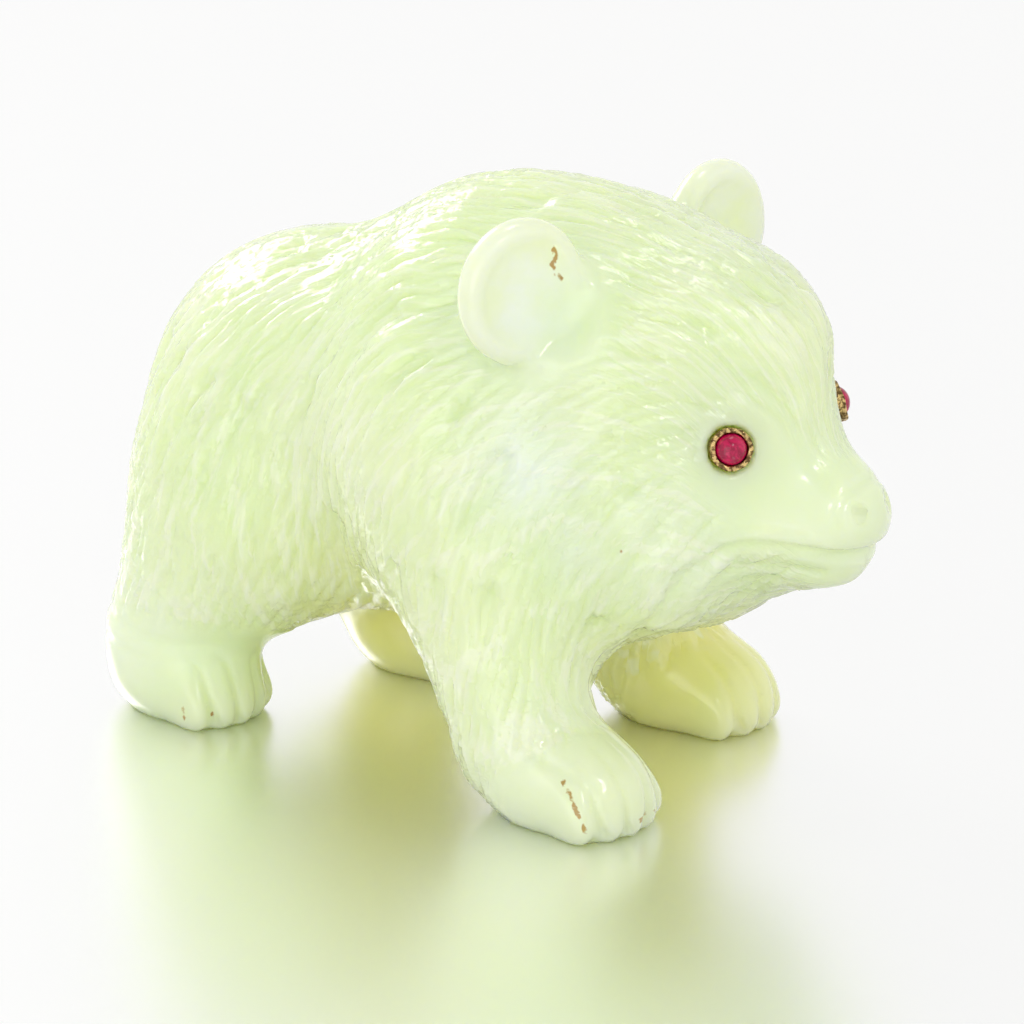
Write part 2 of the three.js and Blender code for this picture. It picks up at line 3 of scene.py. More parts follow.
import bmesh
import bpy
import numpy as np
from mathutils import Matrix, Vector
from mathutils.kdtree import KDTree


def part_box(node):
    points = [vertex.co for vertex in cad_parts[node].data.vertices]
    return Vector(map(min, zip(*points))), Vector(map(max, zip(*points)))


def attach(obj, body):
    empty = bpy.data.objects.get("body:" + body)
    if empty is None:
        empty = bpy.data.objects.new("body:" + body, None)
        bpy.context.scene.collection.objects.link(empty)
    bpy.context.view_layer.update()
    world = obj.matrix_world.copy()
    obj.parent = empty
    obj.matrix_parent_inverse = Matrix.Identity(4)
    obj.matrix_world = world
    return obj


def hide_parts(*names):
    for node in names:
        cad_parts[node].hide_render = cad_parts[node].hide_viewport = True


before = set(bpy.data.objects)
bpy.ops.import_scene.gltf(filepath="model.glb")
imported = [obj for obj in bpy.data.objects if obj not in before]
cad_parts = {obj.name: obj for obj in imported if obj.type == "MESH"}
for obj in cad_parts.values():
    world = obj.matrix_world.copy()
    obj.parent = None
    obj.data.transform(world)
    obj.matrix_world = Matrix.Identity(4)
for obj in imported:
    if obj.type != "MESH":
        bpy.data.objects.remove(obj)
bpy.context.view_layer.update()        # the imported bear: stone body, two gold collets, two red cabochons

chance = np.random.default_rng(7)
print("frame loaded:", ", ".join(sorted(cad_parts)))

# The bear is drawn in hundredths of its length: +X to the nose, +Y its left side, +Z up.
drawing = {
    "length": 98.2,              # nose to rump, in drawn units
    "middle": (-0.06, 0.49, 0),  # drawn place that stands at the frame's origin
}
bodyLow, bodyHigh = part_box("bear_body")
unit = (bodyHigh.x - bodyLow.x) / drawing["length"]  # metres in one drawn unit
middle = np.array(drawing["middle"])
mm = 0.001 / unit  # one millimetre, in drawn units


def toMetres(points):
    return (np.asarray(points) - middle) * unit


# Camera

cameraSet = {
    "aim": (0, 0, 27.3),  # drawn units
    "azimuth": 35,        # degrees round from the bear's right side
    "elevation": 18,
    "distance": 650,      # drawn units
    "lens": 200.2,        # on a 36 mm sensor
}


def makeCamera(values):
    turn, rise = math.radians(values["azimuth"]), math.radians(values["elevation"])
    back = Vector((math.sin(turn) * math.cos(rise), -math.cos(turn) * math.cos(rise), math.sin(rise)))
    camera = bpy.data.objects.new("camera", bpy.data.cameras.new("camera"))
    camera.data.lens = values["lens"]
    camera.data.clip_start, camera.data.clip_end = 0.01, 20
    camera.location = Vector(toMetres(values["aim"])) + back * values["distance"] * unit
    camera.rotation_euler = (-back).to_track_quat("-Z", "Y").to_euler()
    bpy.context.scene.collection.objects.link(camera)
    bpy.context.scene.camera = camera


makeCamera(cameraSet)
print("camera set")

# The bear's form, as blended eggs and tapering limbs. A paired mass is on both sides.

bearForm = {
    "masses": [
        {"name": "rump", "egg": (-27, 0, 35), "radii": (21, 18, 21), "turn": (0, -12, 0), "blend": 1},
        {"name": "barrel", "egg": (-8, 0, 36.5), "radii": (30, 19, 22.8), "turn": (0, -8, 0), "blend": 8},
        {"name": "withers", "egg": (3, 0, 50), "radii": (20, 13.5, 17.8), "blend": 9},
        {"name": "chest", "egg": (12, 0, 35), "radii": (17, 17.5, 18), "blend": 9},
        {"name": "nape", "egg": (13, 0, 52), "radii": (14, 14, 13.4), "blend": 7},
        {"name": "shoulder", "egg": (1, 10.5, 42), "radii": (13, 9.5, 20), "turn": (0, -8, 0), "blend": 8,
         "paired": True},
        {"name": "haunch", "egg": (-30, 11, 27), "radii": (13, 9, 15.5), "turn": (0, 10, 0), "blend": 8,
         "paired": True},
        {"name": "skull", "egg": (20, 0, 46.5), "radii": (18, 18, 17.5), "blend": 7},
        {"name": "forehead", "egg": (29.2, 0, 50.5), "radii": (12.2, 14.3, 11.5), "turn": (0, 15, 0),
         "blend": 5},
        {"name": "brow", "egg": (34.3, 4.5, 53.6), "radii": (6.2, 5.5, 3.9), "blend": 4, "paired": True},
        {"name": "cheek", "egg": (23, 10, 35), "radii": (12.5, 9.5, 14.5), "blend": 6, "paired": True},
        {"name": "ruff", "egg": (25.5, 0, 29), "radii": (11, 12, 9.5), "turn": (0, -10, 0), "blend": 6},
        {"name": "muzzle", "limb": (30, 0, 39), "to": (41.8, 0, 35.5), "ends": (12, 6.1), "blend": 7},
        {"name": "nose", "egg": (44, 0, 36), "radii": (3.2, 4.3, 4), "blend": 4},
        {"name": "lips", "egg": (37, 0, 35.2), "radii": (10.5, 10.2, 5), "turn": (0, 6, 0), "blend": 4},
        {"name": "jaw", "limb": (30, 0, 30.5), "to": (43.6, 0, 30.4), "ends": (7, 3), "blend": 2.5},
        {"name": "chin", "egg": (35.5, 0, 30.6), "radii": (9.5, 7.2, 3.9), "turn": (0, 2, 0), "blend": 2.5},
        {"name": "tail", "egg": (-46, 0, 36), "radii": (3, 3.2, 4.6), "turn": (0, 12, 0), "blend": 3},
    ],
    "legs": [
        {"name": "right fore", "hip": (2.5, -12, 38), "wrist": (13.3, -17.8, 10), "ends": (12.5, 7.8),
         "palm": (19.4, -17.4, 4.3), "radii": (10.4, 8, 6.4), "yaw": -6},
        {"name": "left fore", "hip": (2.5, 12, 38), "wrist": (7, 16.5, 10), "ends": (12.5, 7.8),
         "palm": (12.6, 17.8, 4.3), "radii": (10.4, 8, 6.4), "yaw": 6},
        {"name": "right hind", "hip": (-30, -10, 25), "wrist": (-39.8, -13.6, 10.2), "ends": (9.5, 6.9),
         "palm": (-37.2, -13.4, 4), "radii": (9.6, 7.2, 6), "yaw": -6},
        {"name": "left hind", "hip": (-28, 10, 24), "wrist": (-27, 14.5, 11), "ends": (10.5, 7),
         "palm": (-22.8, 15, 4), "radii": (9.2, 7.2, 6), "yaw": 6},
    ],
    "legBlend": 10,
    "pawBlend": 5,
    "toes": {"count": 5, "radii": (4, 1.9, 3.1), "height": 2.8, "droop": 22, "blend": 1.6,
             "reach": 0.68, "curve": 0.2, "spread": 0.65, "fan": 14},
    "ears": [{"at": (14.5, -19, 60.2), "yaw": -26}, {"at": (14.5, 19.5, 58.6), "yaw": -8}],
    "ear": {"radii": (3.8, 7.6, 8.2), "blend": 3,
            "bowlOut": 4.1, "bowlRadii": (4.1, 7.1, 7.7), "bowlBlend": 1.2},
    "nostril": {"at": (47.4, 2.6, 36.5), "radii": (1.3, 0.9, 1.3), "blend": 0.6},
    "eyeHollow": {"at": (54.2, 31.9, 54.2), "radii": (29.9, 29.9, 29.9), "blend": 5},
    "eyes": {"right": {"at": (36.5, -10.5, 44), "lift": 0},
             "left": {"at": (37.8, 10.4, 44.8), "lift": 0.9}},
}


def onSide(place, side):
    return (place[0], place[1] * side, place[2])


def turning(yaw, pitch=0, roll=0):
    axes = ((yaw, "Z"), (pitch, "Y"), (roll, "X"))
    matrix = Matrix.Identity(3)
    for angle, axis in axes:
        matrix = matrix @ Matrix.Rotation(math.radians(angle), 3, axis)
    return np.array(matrix)


def egg(at, radii, turn=(0, 0, 0)):
    at, radii, rotation = np.array(at), np.array(radii), turning(*turn)

    def distance(points):
        near = (points - at) @ rotation / radii
        reach = np.linalg.norm(near, axis=1)
        return reach * (reach - 1) / np.maximum(np.linalg.norm(near / radii, axis=1), 1e-6)
    return distance


def limb(start, end, ends):
    start, axis = np.array(start, float), np.subtract(end, start).astype(float)
    length = np.linalg.norm(axis)
    axis /= length
    taper = ends[0] - ends[1]
    lean = taper / math.sqrt(length ** 2 - taper ** 2)

    def distance(points):
        away = points - start
        along = away @ axis
        out = np.sqrt(np.maximum((away ** 2).sum(1) - along ** 2, 0))
        s = np.clip(along - out * lean, 0, length)
        return np.hypot(out, along - s) - ends[0] + taper * s / length
    return distance


# Both shapes at once, with a fillet about as wide as blend
def blended(a, b, blend):
    h = np.maximum(blend - np.abs(a - b), 0) / blend
    return np.minimum(a, b) - h * h * blend / 4


def joined(parts):
    def distance(points):
        total = np.full(len(points), 1000.0)  # far outside, until the first shape joins
        for shape, blend in parts:
            total = blended(total, shape(points), blend)
        return total
    return distance


def pawShape(leg, toes):
    (length, width, _), yaw = leg["radii"], math.radians(leg["yaw"])
    parts = [(egg(leg["palm"], leg["radii"], (leg["yaw"], 0, 0)), 1)]
    for i in range(toes["count"]):
        across = 2 * i / (toes["count"] - 1) - 1
        forward = length * (toes["reach"] - toes["curve"] * across ** 2)
        sideways = width * toes["spread"] * across
        at = (leg["palm"][0] + forward * math.cos(yaw) - sideways * math.sin(yaw),
              leg["palm"][1] + forward * math.sin(yaw) + sideways * math.cos(yaw), toes["height"])
        turn = (leg["yaw"] + toes["fan"] * across, toes["droop"], 0)
        parts.append((egg(at, toes["radii"], turn), toes["blend"]))
    return joined(parts)


def bearShape(form):
    parts = []
    for mass in form["masses"]:
        for side in (1, -1) if mass.get("paired") else (1,):
            if "egg" in mass:
                shape = egg(onSide(mass["egg"], side), mass["radii"], mass.get("turn", (0, 0, 0)))
            else:
                shape = limb(mass["limb"], mass["to"], mass["ends"])
            parts.append((shape, mass["blend"]))
    for leg in form["legs"]:
        parts.append((limb(leg["hip"], leg["wrist"], leg["ends"]), form["legBlend"]))
        parts.append((pawShape(leg, form["toes"]), form["pawBlend"]))
    ear = form["ear"]
    hollows = []
    for place in form["ears"]:
        parts.append((egg(place["at"], ear["radii"], (place["yaw"], 0, 0)), ear["blend"]))
        yaw = math.radians(place["yaw"])
        bowl = np.add(place["at"], ear["bowlOut"] * np.array((math.cos(yaw), math.sin(yaw), 0)))
        hollows.append((egg(bowl, ear["bowlRadii"], (place["yaw"], 0, 0)), ear["bowlBlend"]))
    for side in (1, -1):
        for hollow in (form["nostril"], form["eyeHollow"]):
            hollows.append((egg(onSide(hollow["at"], side), hollow["radii"]), hollow["blend"]))
    solid = joined(parts)

    def distance(points):
        total = solid(points)
        for shape, blend in hollows:
            total = -blended(-total, shape(points), blend)
        return total
    return distance


smoothBear = bearShape(bearForm)
sampleCorners = np.array(((1, -1, -1), (-1, -1, 1), (-1, 1, -1), (1, 1, 1)))


def slopeOf(points, reach=0.05):
    slope = np.zeros_like(points)
    for corner in sampleCorners:
        slope += smoothBear(points + corner * reach)[:, None] * corner
    return slope / (4 * reach)


def unitOf(vectors):
    return vectors / np.maximum(np.linalg.norm(vectors, axis=1, keepdims=True), 1e-9)


# Brings points onto the smooth bear's skin
def settled(points, steps=3, longest=1.5):
    for _ in range(steps):
        slope = slopeOf(points)
        move = np.clip(smoothBear(points) / (slope ** 2).sum(1), -longest, longest)
        points = points - slope * move[:, None]
    return points


# The way the fur lies at places on the left side, for both, and how it wanders into tufts

furLie = {
    "reach": 9,         # drawn units round a place that follow it
    "wander": 11,       # degrees
    "wanderLength": 9,  # drawn units from one tuft to the next
    "ways": [           # place, way
        ((42, 3, 44), (-0.4, 0, 0.9)),
        ((36, 4, 54), (-0.8, 0.1, 0.6)),
        ((33, 14, 50), (-0.8, 0.3, 0.1)),
        ((26, 3, 63), (-1, 0.1, 0.1)),
        ((27, 18, 42), (-0.6, 0, -0.8)),
        ((32, 12, 28), (-0.5, 0.1, -0.9)),
        ((24, 10, 20), (-0.4, 0, -1)),
        ((10, 14, 60), (-1, 0.2, -0.2)),
        ((2, 3, 69), (-1, 0.1, -0.1)),
        ((8, 20, 44), (-0.5, 0, -0.9)),
        ((8, 20, 24), (-0.1, 0, -1)),
        ((-16, 4, 61), (-0.9, 0.5, -0.2)),
        ((-12, 18, 40), (-0.3, 0, -1)),
        ((-36, 5, 53), (-0.8, 0.6, -0.4)),
        ((-32, 18, 34), (-0.4, 0, -1)),
        ((-47, 6, 40), (-0.2, 0.3, -1)),
    ],
}


def furWay(points, normals):
    side = np.where(points[:, 1] < 0, -1, 1)
    mirror = np.stack((np.ones(len(points)), side, np.ones(len(points))), axis=1)
    way = np.zeros_like(points)
    for at, lie in furLie["ways"]:
        away = ((points - np.array(at) * mirror) ** 2).sum(1)
        way += np.exp(-away / (2 * furLie["reach"] ** 2))[:, None] * (np.array(lie) * mirror)
    return unitOf(way - normals * (way * normals).sum(1, keepdims=True))


def wander(points):
    turn = 2 * math.pi / furLie["wanderLength"]
    x, y, z = (points * turn).T
    waves = (np.sin(x + 1.7 * np.sin(0.6 * z)) + np.sin(0.8 * z + 1.3 * np.sin(0.7 * y))
             + np.sin(1.1 * y + 0.9 * x))
    return waves / 3 * math.radians(furLie["wander"])


def tuftedWay(points, normals):
    way = furWay(points, normals)
    across = np.cross(normals, way)
    angle = wander(points)[:, None]
    return way * np.cos(angle) + across * np.sin(angle)


# The body's net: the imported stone, remeshed fine, with its eye sockets filled for now

bodyNet = {
    "voxel": 0.00036,    # metres
    "plug": 0.0022,      # radius of the balls that fill the sockets, metres
    "plugSunk": 0.72,    # how deep they sit, as a share of that
    "evenings": 3,       # rounds that even out the net
    "evenShare": 0.6,    # how far a point goes to its neighbours' middle in a round
    "soleBand": 0.2,     # drawn units above the floor that stay flat
}


def eyeSeat(eye):
    at = settled(np.array([eye["at"]], float), 8)
    out = unitOf(slopeOf(at))[0]
    return at[0] + out * eye["lift"], out


eyeSeats = {side: eyeSeat(eye) for side, eye in bearForm["eyes"].items()}


def fineNet(values):
    bm = bmesh.new()
    bm.from_mesh(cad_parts["bear_body"].data)
    for at, out in eyeSeats.values():
        place = Matrix.Translation(Vector(toMetres(at)) - Vector(out) * values["plug"] * values["plugSunk"])
        bmesh.ops.create_icosphere(bm, subdivisions=3, radius=values["plug"], matrix=place)
    rough = bpy.data.meshes.new("rough")
    bm.to_mesh(rough)
    bm.free()
    holder = bpy.data.objects.new("holder", rough)
    bpy.context.scene.collection.objects.link(holder)
    remesh = holder.modifiers.new("remesh", "REMESH")
    remesh.mode = "VOXEL"
    remesh.voxel_size = values["voxel"]
    graph = bpy.context.evaluated_depsgraph_get()
    mesh = bpy.data.meshes.new_from_object(holder.evaluated_get(graph))
    bpy.data.objects.remove(holder)
    points = np.zeros(len(mesh.vertices) * 3)
    mesh.vertices.foreach_get("co", points)
    edges = np.zeros(len(mesh.edges) * 2, int)
    mesh.edges.foreach_get("vertices", edges)
    return mesh, points.reshape(-1, 3) / unit + middle, edges.reshape(-1, 2)


def neighbourMean(values, edges):
    count = np.bincount(edges.ravel(), minlength=len(values))
    both = np.concatenate((edges, edges[:, ::-1]))
    sums = [np.bincount(both[:, 0], values[both[:, 1], i], len(values)) for i in range(values.shape[1])]
    return np.stack(sums, axis=1) / count[:, None]


bodyMesh, points, edges = fineNet(bodyNet)
onSole = points[:, 2] < bodyNet["soleBand"]
for _ in range(bodyNet["evenings"]):
    even = neighbourMean(points, edges)
    even[onSole, 2] = 0
    points[onSole] = even[onSole]
    points[~onSole] = settled(points[~onSole] * (1 - bodyNet["evenShare"])
                              + even[~onSole] * bodyNet["evenShare"], 1)
points[~onSole] = settled(points[~onSole], 2)
points[:, 2] = np.maximum(points[:, 2], 0)
normals = unitOf(slopeOf(points))
normals[onSole] = (0, 0, -1)
print(f"body net: {len(points)} points, {len(bodyMesh.polygons)} faces")

# Cut lines and locks of fur, as the carver's main strokes. Places are on the left side, for both.

mainCuts = {
    "lines": [
        {"name": "mouth", "width": 1.4, "depth": 1,
         "places": [(49, 0, 31.2), (46.6, 4, 32.2), (42.5, 8.4, 33.2), (37.5, 11, 33.2),
                    (33, 12.8, 31.2), (30.6, 14, 28)]},
        {"name": "eye crease", "width": 1.7, "depth": 0.6,
         "places": [(34, 14, 46), (30, 17, 45.2), (26, 19, 43)]},
        {"name": "brow", "width": 2, "depth": 0.4,
         "places": [(35, 12.5, 49), (38, 9, 50.6), (40.5, 6, 48), (43, 4.6, 44)]},
    ],
    "rows": [
        {"name": "forehead", "from": (35, 3, 58), "to": (28, 14, 54), "count": 3, "length": 9},
        {"name": "cheek", "from": (26, 19, 45), "to": (33, 14, 30), "count": 4, "length": 10},
        {"name": "ruff", "from": (33, 4, 23), "to": (22, 15, 24), "count": 4, "length": 7},
        {"name": "neck", "from": (8, 6, 68), "to": (5, 16, 57), "count": 3, "length": 11},
        {"name": "shoulder", "from": (-3, 17, 54), "to": (13, 20, 41), "count": 4, "length": 13},
        {"name": "foreleg", "from": (2, 21, 28), "to": (12, 21, 26), "count": 3, "length": 9},
        {"name": "back", "from": (-13, 6, 61), "to": (-33, 6, 55), "count": 4, "length": 10},
        {"name": "flank", "from": (-15, 18, 44), "to": (-10, 18, 30), "count": 2, "length": 9},
        {"name": "haunch", "from": (-41, 12, 44), "to": (-24, 18, 40), "count": 4, "length": 13},
    ],
    "lock": {"width": 1.9, "depth": 0.75, "step": 1},
}


def curveThrough(places, count=4):
    p = np.array(places, float)
    p = np.vstack((2 * p[0] - p[1], p, 2 * p[-1] - p[-2]))
    out = []
    for i in range(1, len(p) - 2):
        for t in np.arange(count) / count:
            a, b, c, d = p[i - 1:i + 3]
            out.append(0.5 * (2 * b + (c - a) * t + (2 * a - 5 * b + 4 * c - d) * t ** 2
                              + (3 * b - a - 3 * c + d) * t ** 3))
    return np.array(out + [p[-2]])


def lockPoints(starts, length, step, way=furWay):
    here, rows = settled(starts, 4), []
    for _ in range(int(length / step) + 1):
        rows.append(here)
        here = settled(here + way(here, unitOf(slopeOf(here))) * step, 2)
    return np.stack(rows, axis=1)


def mainGrooves(cuts):
    grooves = []
    for side in (1, -1):
        for line in cuts["lines"]:
            along = settled(curveThrough([onSide(at, side) for at in line["places"]]), 4)
            grooves.append((along, line["width"], line["depth"], line["depth"] / 2))
        for row in cuts["rows"]:
            share = np.linspace(0, 1, row["count"])[:, None]
            first, last = np.array(onSide(row["from"], side)), np.array(onSide(row["to"], side))
            starts = first * (1 - share) + last * share
            for along in lockPoints(starts, row["length"], cuts["lock"]["step"]):
                grooves.append((along, cuts["lock"]["width"], cuts["lock"]["depth"], 0))
    return grooves


def cutDepth(points, grooves):
    deepest = np.zeros(len(points))
    for along, width, startDepth, endDepth in grooves:
        near = np.flatnonzero(((points > along.min(0) - width) & (points < along.max(0) + width)).all(1))
        last = len(along) - 1
        for i in range(last):
            span = along[i + 1] - along[i]
            t = np.clip((points[near] - along[i]) @ span / (span @ span), 0, 1)
            away = np.linalg.norm(points[near] - along[i] - t[:, None] * span, axis=1) / width
            depth = startDepth + (endDepth - startDepth) * (i + t) / last
            cut = np.where(away < 1, depth * (1 - away ** 2) ** 2, 0)
            deepest[near] = np.maximum(deepest[near], cut)
    return deepest


# Finer lines of the carving. A line is on both sides, or on the one named.

fineLines = [
    {"name": "upper lip", "width": 0.9, "depth": 0.3,
     "places": [(44, 7.2, 34.6), (40, 9.6, 35.2), (35.5, 11.6, 34.6), (31.5, 14, 32.6)]},
    {"name": "lower lip", "width": 1, "depth": 0.4,
     "places": [(44.5, 4.5, 29.6), (41, 7, 30.4), (37, 9, 30.6), (33.6, 11, 29), (31.4, 12.6, 26)]},
    {"name": "jowl", "width": 0.9, "depth": 0.35,
     "places": [(40, 6, 28.4), (36, 8.4, 28.6), (33, 10.4, 26.6), (30.4, 12, 23.4)]},
    {"name": "second jowl", "width": 0.9, "depth": 0.3,
     "places": [(35.4, 6.6, 26.4), (32.4, 8.6, 25), (29.8, 10.4, 22)]},
    {"name": "bridge", "width": 1.6, "depth": 0.45,
     "places": [(36, 5.6, 51), (39.6, 5.4, 47.4), (43.4, 4.8, 42.4), (46.6, 4.4, 39)]},
    {"name": "eyelid", "width": 0.8, "depth": 0.3,
     "places": [(33.4, 13, 43.4), (34, 12.6, 46.6), (36.6, 10.8, 48), (39.6, 8.6, 46.6)]},
    {"name": "nose edge", "width": 0.8, "depth": 0.3,
     "places": [(47.4, 0, 40), (47, 3, 39.4), (46.4, 4.6, 37.6), (46.4, 4.8, 35), (47.4, 3.4, 33.2)]},
    {"name": "ear root", "side": -1, "width": 1.3, "depth": 0.55,
     "places": [(8, 19, 53.6), (10.4, 19.7, 52), (13.3, 20.2, 51), (15.6, 19.8, 52.6), (17.6, 17, 54.8)]},
    {"name": "brow ridge", "width": 1.3, "depth": 0.45,
     "places": [(26.6, 18.1, 42.4), (29.6, 15.6, 44.2), (32.4, 12.6, 44.8)]},
    {"name": "paw ridge", "side": -1, "width": 1.1, "depth": 0.4,
     "places": [(18.4, 24.6, 10.6), (21.4, 24.2, 9), (24, 23.4, 7.8), (26.9, 22.2, 6.4)]},
    {"name": "paw top", "side": -1, "width": 1.1, "depth": 0.35,
     "places": [(16.9, 25.5, 7.4), (19.3, 24.1, 10.4), (21.5, 20, 11.4), (23.8, 17.1, 10.8)]},
    {"name": "right shank fold", "side": -1, "width": 1.2, "depth": 0.35,
     "places": [(-46.4, 12, 13), (-42, 18, 11.4), (-36, 20, 10.4), (-31, 18, 10.4)]},
    {"name": "right shank second fold", "side": -1, "width": 1, "depth": 0.3,
     "places": [(-46.6, 13, 10.6), (-42.6, 19, 8.8), (-37, 21, 8)]},
    {"name": "left shank fold", "side": 1, "width": 1.2, "depth": 0.35,
     "places": [(-34, 14, 13), (-30, 20, 11.4), (-24, 21, 10.4), (-19, 18, 10.4)]},
]

# Cuts between the toes

toeCuts = {
    "width": 0.7,
    "depth": 0.4,
    "back": 0.42,           # where a cut starts and ends, as shares of the paw's length
    "front": 1.02,
    "rise": (7.2, 1.2),     # its height there
    "fanned": (0.8, 0.25),  # its place across at the start, as a share of the toes' own, and its gain
    "shares": (0, 0.35, 0.7, 1),
}


def fineGrooves(lines, cuts):
    grooves = []
    for line in lines:
        for side in (line["side"],) if "side" in line else (1, -1):
            along = settled(curveThrough([onSide(at, side) for at in line["places"]]), 5)
            grooves.append((along, line["width"], line["depth"], line["depth"] / 3))
    toes = bearForm["toes"]
    for leg in bearForm["legs"]:
        (length, width, _), yaw = leg["radii"], math.radians(leg["yaw"])
        for i in range(toes["count"] - 1):
            across = (2 * i + 1) / (toes["count"] - 1) - 1
            places = []
            for share in cuts["shares"]:
                reach = cuts["back"] + (cuts["front"] - cuts["back"]) * share
                fanned = cuts["fanned"][0] + cuts["fanned"][1] * share
                forward = length * (reach - toes["curve"] * across ** 2)
                sideways = width * toes["spread"] * across * fanned
                rise = cuts["rise"][0] + (cuts["rise"][1] - cuts["rise"][0]) * share ** 2
                places.append((leg["palm"][0] + forward * math.cos(yaw) - sideways * math.sin(yaw),
                               leg["palm"][1] + forward * math.sin(yaw) + sideways * math.cos(yaw), rise))
            along = settled(curveThrough(places[::-1]), 5)
            grooves.append((along, cuts["width"], cuts["depth"], cuts["depth"] / 4))
    return grooves


# Flaws: open cracks and pits with dark dirt in them. Each runs through its places.

stoneFlaws = {
    "width": 1.1,
    "depth": 0.12,
    "places": [
        [(17.1, -17.5, 66), (17.1, -16.3, 64), (16.7, -16.2, 62.8), (17.3, -15.4, 61.1)],
        [(23.6, -24, 7.1), (25.6, -24.7, 4.8), (27.2, -24.7, 2)],
        [(27.8, -18.8, 33.7), (27.3, -18.7, 31.9)],
        [(-32, -20.6, 3), (-31.9, -20.6, 1.7)],
        [(-29.3, -18.8, 3), (-29.2, -18.8, 1.9)],
        [(47.8, -2.1, 37.2), (47.6, -1.8, 36.2)],
        [(29.8, -18.6, 2.2), (30.1, -15.5, 2.2)],
    ],
}


def flawLines(values):
    lines = []
    for places in values["places"]:
        along = settled(curveThrough(places), 5)
        lines.append((along, values["width"], values["depth"], values["depth"]))
    return lines


# Polished places that carry no fur, in drawn units

bareStone = {
    "places": [          # places on the left side, for both, with how far each reaches
        ((38.5, 10, 42.5), 7),
        ((43, 8, 39), 7),
        ((47, 3, 36), 8),
        ((45, 2, 30.5), 5),
        ((38, 10, 35.5), 4),
    ],
    "earOut": 1.5,       # from the ear's middle towards its front
    "earReach": 11,
    "pawReach": (11.5, 9.5, 6.2),  # a polished egg over each paw
    "pawForward": 3.5,
    "pawOut": 1.15,      # where its soft edge ends, and the edge's width, as shares of the egg
    "pawEdge": 0.2,
    "shankTop": 14,      # the fur stops at this height on the hind legs
    "shankReach": 16,
    "edge": 2.5,         # width of the other soft edges
}


def bareShare(points, values):
    bare = np.zeros(len(points))
    spots = [(onSide(at, side), reach) for at, reach in values["places"] for side in (1, -1)]
    for place in bearForm["ears"]:
        yaw = math.radians(place["yaw"])
        front = np.add(place["at"], values["earOut"] * np.array((math.cos(yaw), math.sin(yaw), 0)))
        spots.append((front, values["earReach"]))
    for at, reach in spots:
        away = np.linalg.norm(points - np.array(at), axis=1)
        bare = np.maximum(bare, np.clip((reach - away) / values["edge"], 0, 1))
    for leg in bearForm["legs"]:
        paw = np.array(leg["palm"]) + (values["pawForward"], 0, 0)
        away = np.linalg.norm((points - paw) / values["pawReach"], axis=1)
        bare = np.maximum(bare, np.clip((values["pawOut"] - away) / values["pawEdge"], 0, 1))
        if "hind" in leg["name"]:
            near = np.linalg.norm((points - leg["wrist"])[:, :2], axis=1) < values["shankReach"]
            low = np.clip((values["shankTop"] - points[:, 2]) / values["edge"], 0, 1)
            bare = np.maximum(bare, near * low)
    return bare


bare = bareShare(points, bareStone)

# Fur strokes: short tapered cuts set out at random, close across the fur and long along it

furCuts = {
    "along": 3.6,          # drawn units between strokes, along the fur
    "across": 0.9,         # and across it
    "length": (4.5, 8.5),  # shortest and longest stroke
    "width": (0.55, 1.0),
    "depth": (0.26, 0.6),
    "step": 0.5,           # between the places a stroke is led through
    "fine": 2,             # samples to such a step
    "sampleReach": 0.45,   # how far along the fur a sample cuts
    "draw": 0.7,           # how far the net is drawn into a cut's bottom
    "drawReach": 0.45,     # from what share of its width
    "nearest": 6,          # samples looked at for each point
    "wall": 1.3,           # how steep a cut's sides are
    "taper": 0.6,          # how blunt its ends are
    "lowest": 1,           # no stroke starts below this height
}


def strokeStarts(points, normals, values):
    order = chance.permutation(np.flatnonzero((bare < 0.5) & (points[:, 2] > values["lowest"])))
    way = tuftedWay(points, normals)
    across = np.cross(normals, way)
    cell, shelf, kept = values["along"], {}, []
    keys = np.floor(points / cell).astype(int)
    for i in order:
        x, y, z = keys[i]
        near = [j for dx in (-1, 0, 1) for dy in (-1, 0, 1) for dz in (-1, 0, 1)
                for j in shelf.get((x + dx, y + dy, z + dz), ())]
        if near:
            away = points[near] - points[i]
            gap = (away @ way[i] / values["along"]) ** 2 + (away @ across[i] / values["across"]) ** 2
            if gap.min() < 1:
                continue
        kept.append(i)
        shelf.setdefault((x, y, z), []).append(i)
    return np.array(kept)


starts = strokeStarts(points, normals, furCuts)
strokeRows = lockPoints(points[starts], furCuts["length"][1], furCuts["step"], tuftedWay)
print(f"fur: {len(starts)} strokes")


def strokeSamples(rows, values):
    count, steps = rows.shape[:2]
    longest = values["length"][1]
    length = chance.uniform(*values["length"], count)
    width = chance.uniform(*values["width"], count)
    depth = chance.uniform(*values["depth"], count)
    fine = values["fine"]
    sample = np.arange((steps - 1) * fine)
    left = sample // fine
    mix = (sample % fine / fine)[None, :, None]
    at = rows[:, left] * (1 - mix) + rows[:, left + 1] * mix
    run = unitOf((rows[:, left + 1] - rows[:, left]).reshape(-1, 3)).reshape(at.shape)
    t = sample / len(sample) * longest / length[:, None]
    taper = np.where(t < 1, np.sin(np.pi * np.clip(t, 0, 1)) ** values["taper"], 0)
    keep = taper.ravel() > 0.1  # not the faint ends, nor what lies past them
    deep = (depth[:, None] * taper).ravel()[keep]
    wide = (width[:, None] * (0.55 + 0.45 * taper)).ravel()[keep]  # narrower towards the ends
    return at.reshape(-1, 3)[keep], run.reshape(-1, 3)[keep], deep, wide


